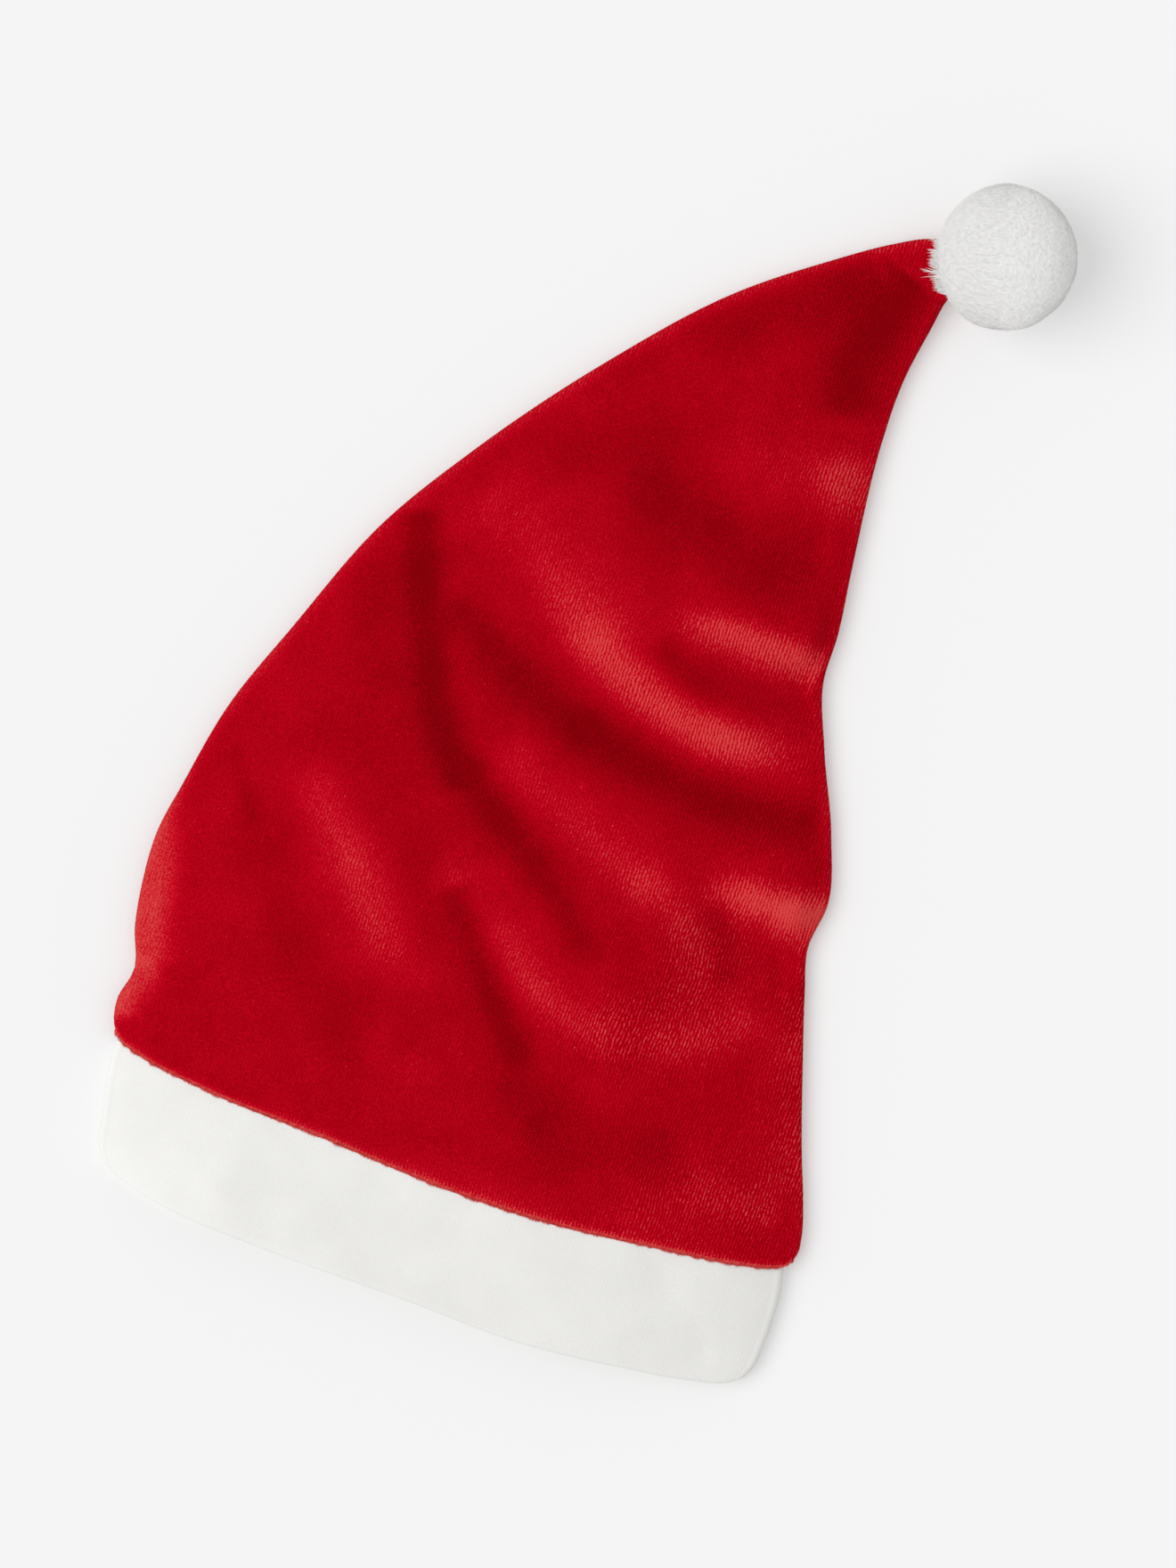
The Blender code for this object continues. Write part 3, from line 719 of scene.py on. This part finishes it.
band_last = 1 - band_wall / 2 / band_depth
band_shares = np.linspace(band_top_end / band_depth, band_last, band_rows)
band_shares = np.concatenate((np.array(band_top_steps) / band_depth, band_shares))
band_outer = band_loops(band_shares)
band_in = band_inward(band_outer)
band_end = band_loops([band_last, 1.0])
band_down = band_end[1] - band_end[0]
band_down /= np.linalg.norm(band_down, axis=-1, keepdims=True)
band_turns = []
for band_angle in np.linspace(0.0, math.pi, band_turn_steps + 1)[1:-1]:
    turned_in = band_wall / 2 * (1 - math.cos(band_angle))
    turned_down = band_wall / 2 * math.sin(band_angle)
    band_turns.append(band_outer[-1] + band_in[-1] * turned_in + band_down * turned_down)
band_inner = (band_outer + band_in * band_wall)[::-1][::band_inner_step]
band_drop = roll_drop(band_shares * band_depth, band_top_roll) * band_top_roll_share
band_outer = band_outer + band_in * band_drop[:, None, None]
band_points = np.concatenate([band_outer, np.array(band_turns), band_inner])
band_points[..., :2] += hem_middle

white_shades = [
    (0.0, (0.700, 0.694, 0.670, 1.0)),
    (0.5, (0.808, 0.802, 0.778, 1.0)),
    (1.0, (0.920, 0.916, 0.902, 1.0)),
]
white_look = VelourLook(
    stitches=0.20, pile=0.14, lint=0.0, patches=0.18, relief=0.00003, sheen=0.08,
    sheen_tint=(1.0, 1.0, 1.0, 1.0),
)
white_velour = velour_finish("white_velour", white_shades, white_look)
band_mesh = grid_mesh("band_velour", band_points, round_across=True, round_along=True, turned=True)
band = sewn_piece("band_velour", band_mesh, white_velour)
# Painted shade: lighter at the band's left end, towards the light, and darker towards the right.
band_painted_shade = 0.66 - 0.17 * eased_step((band_points[..., 0] + 0.11) / 0.17)
band_wear = 0.06 + 0.60 * eased_step((band_points[..., 0] + 0.03) / 0.12)
store_mask(band, "painted_shade", band_painted_shade)
store_mask(band, "bare", band_wear)
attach(band, "root")
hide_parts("band")

# Pile at the edges
# The sheared fibres of the red velour stand over the white at the hem seam and along both side
# seams, where the cloth turns away and the pile is seen from its side.
pile_seed = 11
hem_fibre_rows = 7
hem_tuft_size = 0.0007
hem_tuft_seed = 6.3
side_pile_reach = 0.002


def fibre_tree():
    """Thin tapered fibres on a surface, each along the stored comb direction with some spread."""
    tree = bpy.data.node_groups.new("fibres", "GeometryNodeTree")
    tree.interface.new_socket("Geometry", in_out="INPUT", socket_type="NodeSocketGeometry")
    for name in ("Density", "Length", "Thickness", "Spread", "Length Range"):
        tree.interface.new_socket(name, in_out="INPUT", socket_type="NodeSocketFloat")
    tree.interface.new_socket("Seed", in_out="INPUT", socket_type="NodeSocketInt")
    tree.interface.new_socket("Material", in_out="INPUT", socket_type="NodeSocketMaterial")
    tree.interface.new_socket("Geometry", in_out="OUTPUT", socket_type="NodeSocketGeometry")
    given = tree.nodes.new("NodeGroupInput").outputs
    cover = add_node(tree, "GeometryNodeInputNamedAttribute", {"Name": "cover"}, data_type="FLOAT")
    reach = add_node(tree, "GeometryNodeInputNamedAttribute", {"Name": "reach"}, data_type="FLOAT")
    comb = add_node(
        tree, "GeometryNodeInputNamedAttribute", {"Name": "comb"}, data_type="FLOAT_VECTOR"
    )
    density = add_math(tree, "MULTIPLY", given["Density"], cover.outputs[0])
    roots = add_node(
        tree,
        "GeometryNodeDistributePointsOnFaces",
        {"Mesh": given["Geometry"], "Density": density, "Seed": given["Seed"]},
        distribute_method="RANDOM",
    )
    stray = add_node(
        tree,
        "FunctionNodeRandomValue",
        {"Min": (-1.0, -1.0, -1.0), "Max": (1.0, 1.0, 1.0), "Seed": given["Seed"]},
        data_type="FLOAT_VECTOR",
    )
    lean = add_node(
        tree, "ShaderNodeVectorMath", {0: stray.outputs[0], "Scale": given["Spread"]}, operation="SCALE"
    )
    way = add_node(tree, "ShaderNodeVectorMath", {0: lean.outputs[0], 1: comb.outputs[0]})
    turn = add_node(tree, "FunctionNodeAlignRotationToVector", {"Vector": way.outputs[0]}, axis="Z")
    fibre = add_node(
        tree,
        "GeometryNodeMeshCone",
        {"Vertices": 3, "Radius Top": 0.0, "Radius Bottom": given["Thickness"], "Depth": 1.0},
        fill_type="NONE",
    )
    shortest = add_math(tree, "SUBTRACT", 1.0, given["Length Range"])
    length_seed = add_math(tree, "ADD", given["Seed"], 7.0)
    # Inputs 2 and 3 and output 1 are this node's sockets for plain numbers.
    lengths = add_node(
        tree, "FunctionNodeRandomValue", {2: shortest, 3: 1.0, "Seed": length_seed}, data_type="FLOAT"
    )
    longest = add_math(tree, "MULTIPLY", given["Length"], reach.outputs[0])
    size = add_math(tree, "MULTIPLY", lengths.outputs[1], longest)
    scale = add_node(tree, "ShaderNodeCombineXYZ", {0: 1.0, 1: 1.0, 2: size})
    placed = add_node(
        tree,
        "GeometryNodeInstanceOnPoints",
        {
            "Points": roots.outputs["Points"],
            "Instance": fibre.outputs["Mesh"],
            "Rotation": turn.outputs[0],
            "Scale": scale.outputs[0],
        },
    )
    real = add_node(tree, "GeometryNodeRealizeInstances", {"Geometry": placed.outputs[0]})
    dyed = add_node(
        tree, "GeometryNodeSetMaterial", {"Geometry": real.outputs[0], "Material": given["Material"]}
    )
    add_node(tree, "NodeGroupOutput", {"Geometry": dyed.outputs[0]})
    return tree


fibres = fibre_tree()


def grow_fibres(name, skin, cover, reach, comb, facing, finish, settings):
    """Grow fibres on a skin mesh as one plain mesh, lit along the facing of the cloth they cover."""
    for label, values in (("cover", cover), ("reach", reach)):
        stored = skin.attributes.new(label, "FLOAT", "POINT")
        stored.data.foreach_set("value", values.reshape(-1).astype(np.float32))
    combed = skin.attributes.new("comb", "FLOAT_VECTOR", "POINT")
    combed.data.foreach_set("vector", comb.reshape(-1).astype(np.float32))
    bearer = bpy.data.objects.new(name + "_skin", skin)
    bpy.context.scene.collection.objects.link(bearer)
    grower = bearer.modifiers.new("fibres", "NODES")
    grower.node_group = fibres
    sockets = {item.name: item for item in fibres.interface.items_tree if item.in_out == "INPUT"}
    for label, value in settings.items():
        grower[sockets[label].identifier] = value
    grower[sockets["Material"].identifier] = finish
    bpy.context.view_layer.update()
    grown = bearer.evaluated_get(bpy.context.evaluated_depsgraph_get())
    made = bpy.data.meshes.new_from_object(grown)
    made.name = name
    bpy.data.objects.remove(bearer)
    places = np.empty(len(made.vertices) * 3)
    made.vertices.foreach_get("co", places)
    made.normals_split_custom_set_from_vertices(facing(places.reshape(-1, 3)).tolist())
    piece = bpy.data.objects.new(name, made)
    bpy.context.scene.collection.objects.link(piece)
    return piece


def fibre_finish(name, shades, sheen_tint):
    """Fibres: a colour that varies from tuft to tuft, with grain where the fur is curled."""
    made = bpy.data.materials.new(name)
    made.use_nodes = True
    tree = made.node_tree
    shader = tree.nodes["Principled BSDF"]
    place = add_node(tree, "ShaderNodeTexCoord").outputs["Object"]
    vary = add_node(tree, "ShaderNodeTexNoise", {"Vector": place, "Scale": 900.0, "Detail": 1.0})
    ramp = add_node(tree, "ShaderNodeValToRGB", {0: vary.outputs[0]})
    for stop, position, colour in zip(ramp.color_ramp.elements, (0.3, 0.7), shades):
        stop.position = position
        stop.color = colour
    curled = add_node(tree, "ShaderNodeAttribute", attribute_name="curled").outputs["Fac"]
    grain = add_math(tree, "MULTIPLY", vary.outputs[0], curled)
    bumped = add_node(tree, "ShaderNodeBump", {"Strength": 0.8, "Distance": 0.0006, "Height": grain})
    tree.links.new(ramp.outputs[0], shader.inputs["Base Color"])
    tree.links.new(bumped.outputs[0], shader.inputs["Normal"])
    shader.inputs["Roughness"].default_value = 0.8
    shader.inputs["Specular IOR Level"].default_value = 0.0
    shader.inputs["Sheen Weight"].default_value = 0.2
    shader.inputs["Sheen Roughness"].default_value = 0.4
    shader.inputs["Sheen Tint"].default_value = sheen_tint
    return made


def skin_normals(points):
    """Unit normals of a grid of points."""
    normal = np.cross(np.gradient(points, axis=1), np.gradient(points, axis=0))
    return normal / np.maximum(np.linalg.norm(normal, axis=-1, keepdims=True), 1e-12)


def face_up_and_out(points):
    """The way that the seams' fibres face: up, and a little towards the foot."""
    return np.tile([0.0, -0.3, 0.95], (len(points), 1))


# Painted highlight: the hem's fibres are lighter and pinker than the cloth, where the pile catches the
# light.
highlit_red_fibre = fibre_finish(
    "highlit_red_fibre", [(0.640, 0.030, 0.032, 1.0), (0.820, 0.105, 0.096, 1.0)], (1.0, 0.2, 0.2, 1.0)
)
# Painted shade: the side seams' fibres are darker than the cloth, where the edge turns away.
shaded_seam_fibre = fibre_finish(
    "shaded_seam_fibre", [(0.330, 0.002, 0.008, 1.0), (0.480, 0.010, 0.018, 1.0)], (1.0, 0.2, 0.2, 1.0)
)
front_normal = skin_normals(front_points)
hem_points = front_points[:hem_fibre_rows]
hem_tuft_plan = front_plan[:hem_fibre_rows] * [1.0, 0.2]
hem_tufts = 0.70 + surface_waver(hem_tuft_plan, hem_tuft_size, 0.9, hem_tuft_seed)
hem_comb = front_normal[:hem_fibre_rows] * 0.30 + np.array([-0.05, -1.0, -0.15])
hem_pile = grow_fibres(
    "hem_pile",
    grid_mesh("hem_skin", hem_points),
    np.ones(hem_points.shape[:2]),
    np.clip(hem_tufts, 0.3, 1.3),
    hem_comb,
    face_up_and_out,
    highlit_red_fibre,
    {
        "Density": 34e6,
        "Length": 0.0012,
        "Thickness": 0.00009,
        "Spread": 0.35,
        "Length Range": 0.5,
        "Seed": pile_seed,
    },
)
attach(hem_pile, "root")

side_pile = grow_fibres(
    "side_pile",
    grid_mesh("side_skin", front_points),
    (np.minimum(from_left, from_right) < side_pile_reach).astype(float),
    np.ones(front_points.shape[:2]),
    front_normal + np.array([0.0, 0.0, 0.2]),
    face_up_and_out,
    shaded_seam_fibre,
    {
        "Density": 6e6,
        "Length": 0.00022,
        "Thickness": 0.00006,
        "Spread": 0.5,
        "Length Range": 0.6,
        "Seed": pile_seed + 1,
    },
)
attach(side_pile, "root")

# Ball
# A round ball of white plush, gathered round a wadding core and sewn to the tip. Its pile is
# short and curled away from the hat, and long and brushed towards the hat, over the red.
ball_reach = 0.0204
ball_shift = Vector((-0.0006, -0.0014, 0.0003))
ball_grain = 0.00018
ball_grain_size = 0.0013
ball_lump = 0.0004
ball_lumps_round = 2.2
hat_side_flat = 0.0014
far_side_flat = 0.0005
dimple_depth = 0.0075
dimple_angle = math.radians(42.0)
sewn_angle = math.radians(36.0)
tip_turn = math.radians(37.8)
tip_standoff = 0.0127
tip_arm = tip_bend_radius - half_edge
tip_reach = tip_arm * math.sin(tip_turn) + tip_standoff * math.cos(tip_turn)
ball_plan = tip_bend_start + hem_middle + tip_heading * tip_reach
ball_level = tip_bend_radius - tip_arm * math.cos(tip_turn) + tip_standoff * math.sin(tip_turn)
ball_middle = Vector((ball_plan[0], ball_plan[1], ball_level)) + ball_shift
tip_way = Vector((*(-tip_heading * math.cos(tip_turn)), -math.sin(tip_turn)))
hat_way = np.array([-0.97, -0.24, 0.0])
top_light_share = 0.53
white_fur = fibre_finish(
    "white_fur", [(0.780, 0.775, 0.760, 1.0), (0.850, 0.845, 0.832, 1.0)], (1.0, 1.0, 1.0, 1.0)
)


def ways_from_middle(points):
    """Unit ways out from the ball's middle."""
    ways = points - np.array(ball_middle)
    return ways / np.linalg.norm(ways, axis=1, keepdims=True)


def face_like_fur(points):
    """The way that fur faces: out from the ball's middle and up, as light passes between fibres."""
    ways = ways_from_middle(points)
    upward = top_light_share * eased_step(ways[:, 2:] + 1.0)
    ways = (1 - upward) * ways + upward * np.array([0.0, 0.0, 1.0])
    return ways / np.linalg.norm(ways, axis=1, keepdims=True)


ball_form = bmesh.new()
bmesh.ops.create_icosphere(ball_form, subdivisions=6, radius=ball_reach)
for vertex in ball_form.verts:
    way = vertex.co.normalized()
    grain = noise.noise(way * ball_reach / ball_grain_size) * ball_grain
    lumps = noise.noise(way * ball_lumps_round) * ball_lump
    to_hat = way @ Vector(hat_way)
    flat = (hat_side_flat if to_hat > 0 else far_side_flat) * to_hat * to_hat
    near_tip = max(0.0, 1 - way.angle(tip_way) / dimple_angle)
    dimple = dimple_depth * near_tip * near_tip * (3 - 2 * near_tip)
    vertex.co = ball_middle + way * (ball_reach + grain + lumps - flat - dimple)
ball_mesh = bpy.data.meshes.new("ball_plush")
ball_form.to_mesh(ball_mesh)
ball_form.free()
ball_mesh.shade_smooth()
skin_points = np.array([vertex.co for vertex in ball_mesh.vertices])
skin_ways = ways_from_middle(skin_points)
ball_mesh.normals_split_custom_set_from_vertices(face_like_fur(skin_points).tolist())
ball = sewn_piece("ball_plush", ball_mesh, white_fur)
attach(ball, "root")
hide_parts("pompom")

hat_side = eased_step((skin_ways @ hat_way + 0.35) / 0.5)
store_mask(ball, "curled", 1.0 - hat_side)
along_skin = hat_way - skin_ways * (skin_ways @ hat_way)[:, None]
sewn_under = (skin_ways @ np.array(tip_way) > math.cos(sewn_angle)).astype(float)
curls_round = 16.0
curl_places = [Vector((0.0, 0.0, 0.0)), Vector((17.3, 0.0, 0.0)), Vector((0.0, 23.9, 0.0))]
curl = np.array(
    [[noise.noise(Vector(way) * curls_round + place) for place in curl_places] for way in skin_ways]
)
curl -= skin_ways * (curl * skin_ways).sum(axis=1)[:, None]
fur_lift = 0.34 - 0.16 * hat_side
fur_brushed = 1.1 * hat_side
fur_curled = 2.4 - 2.0 * hat_side
fur_comb = skin_ways * fur_lift[:, None] + along_skin * fur_brushed[:, None]
fur_comb += curl * fur_curled[:, None]
fur_cover = (1.0 - sewn_under) * (0.20 + 0.80 * hat_side)
off_the_floor = 0.6 + 0.4 * eased_step((skin_ways[:, 2] + 1.0) / 0.4)
fur_reach = (0.50 + 0.80 * hat_side) * off_the_floor
ball_fur = grow_fibres(
    "ball_fur",
    ball_mesh.copy(),
    fur_cover,
    fur_reach,
    fur_comb,
    face_like_fur,
    white_fur,
    {
        "Density": 3.2e6,
        "Length": 0.0014,
        "Thickness": 0.000035,
        "Spread": 0.20,
        "Length Range": 0.4,
        "Seed": pile_seed + 2,
    },
)
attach(ball_fur, "root")

over_tip = np.array([-0.891, -0.454])
over_tip_spread = 0.915
wisp_lowest = -0.55
wisp_highest = 0.10
wisps_round = 9.0
long_tuft = np.array([-0.851, -0.525])
long_tuft_width = 0.0035
level_reach = np.linalg.norm(skin_ways[:, :2], axis=1, keepdims=True)
round_ways = skin_ways[:, :2] / np.maximum(level_reach, 1e-9)
wisp_tufts = np.array([noise.noise(Vector(way) * wisps_round) for way in skin_ways])
wisp_place = (skin_ways[:, 2] > wisp_lowest) & (skin_ways[:, 2] < wisp_highest)
wisp_place &= round_ways @ over_tip > over_tip_spread
wisp_reach = 0.6 + 1.2 * np.clip(wisp_tufts, 0.0, 0.5)
wisp_reach += 0.55 * np.exp(-(((round_ways @ long_tuft - 1.0) / long_tuft_width) ** 2))
wisp_comb = along_skin * 0.3 + hat_way * 0.9 + skin_ways * 0.3 + curl * 0.5
wisp_comb += np.array([0.0, 0.0, -0.12])
wisp_cover = wisp_place * eased_step(wisp_tufts * 4.0 + 0.4)
wisps = grow_fibres(
    "ball_wisps",
    ball_mesh.copy(),
    wisp_cover,
    wisp_reach,
    wisp_comb,
    face_like_fur,
    white_fur,
    {
        "Density": 5.0e6,
        "Length": 0.0037,
        "Thickness": 0.00021,
        "Spread": 0.26,
        "Length Range": 0.5,
        "Seed": pile_seed + 3,
    },
)
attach(wisps, "root")

# Floor, light and camera
# A plain pale floor under soft studio light from the left, and a camera straight above, turned
# as in the photo, so that the hem slopes down to the right.
picture_scale = 0.00025
picture_tilt = math.radians(19.0)
picture_height = 1760
hem_pixel = (505, 1335)
picture_middle = (660, 880)
camera_height = 5.0
sensor = 36.0
floor_size = 3.0
floor_grey = 0.604
floor_glow = 0.30
room_light = 0.62
key_turn = math.radians(180.0)
key_rise = math.radians(56.0)
key_spread = math.radians(50.0)
key_strength = 1.50
key_distance = 1.5
white = (1.0, 1.0, 1.0, 1.0)


def from_picture(dx, dy):
    """The floor step of dx, dy in the picture, dx right and dy down, on the hat's axes."""
    x = (dx * math.cos(picture_tilt) + dy * math.sin(picture_tilt)) * picture_scale
    y = (dx * math.sin(picture_tilt) - dy * math.cos(picture_tilt)) * picture_scale
    return Vector((x, y, 0.0))


step_x = picture_middle[0] - hem_pixel[0]
step_y = picture_middle[1] - hem_pixel[1]
view_middle = Vector((hem_middle[0], hem_middle[1], 0.0)) + from_picture(step_x, step_y)

floor_mesh = bpy.data.meshes.new("floor")
floor_form = bmesh.new()
bmesh.ops.create_grid(floor_form, x_segments=1, y_segments=1, size=floor_size)
floor_form.to_mesh(floor_mesh)
floor_form.free()
floor_finish = bpy.data.materials.new("pale_floor")
floor_finish.use_nodes = True
floor_shader = floor_finish.node_tree.nodes["Principled BSDF"]
floor_shader.inputs["Base Color"].default_value = (floor_grey, floor_grey, floor_grey, 1.0)
floor_shader.inputs["Emission Color"].default_value = white
floor_shader.inputs["Emission Strength"].default_value = floor_glow
floor_shader.inputs["Roughness"].default_value = 0.9
floor_shader.inputs["Specular IOR Level"].default_value = 0.0
floor = sewn_piece("floor", floor_mesh, floor_finish)

key_flat = from_picture(math.cos(key_turn), -math.sin(key_turn)).normalized()
key_way = key_flat * math.cos(key_rise) + Vector((0.0, 0.0, math.sin(key_rise)))
key_data = bpy.data.lights.new("key", "SUN")
key_data.energy = key_strength
key_data.angle = key_spread
key = bpy.data.objects.new("key", key_data)
key.location = view_middle + key_way * key_distance
key.rotation_euler = (-key_way).to_track_quat("-Z", "Y").to_euler()
bpy.context.scene.collection.objects.link(key)

world = bpy.data.worlds.new("studio")
world.use_nodes = True
background = world.node_tree.nodes["Background"]
background.inputs["Color"].default_value = white
background.inputs["Strength"].default_value = room_light
bpy.context.scene.world = world
bpy.context.scene.view_settings.view_transform = "Standard"

camera_data = bpy.data.cameras.new("camera")
camera_data.sensor_width = sensor
camera_data.lens = sensor * camera_height / (picture_height * picture_scale)
camera = bpy.data.objects.new("camera", camera_data)
camera.location = view_middle + Vector((0.0, 0.0, camera_height))
camera.rotation_euler = (0.0, 0.0, picture_tilt)
bpy.context.scene.collection.objects.link(camera)
bpy.context.scene.camera = camera
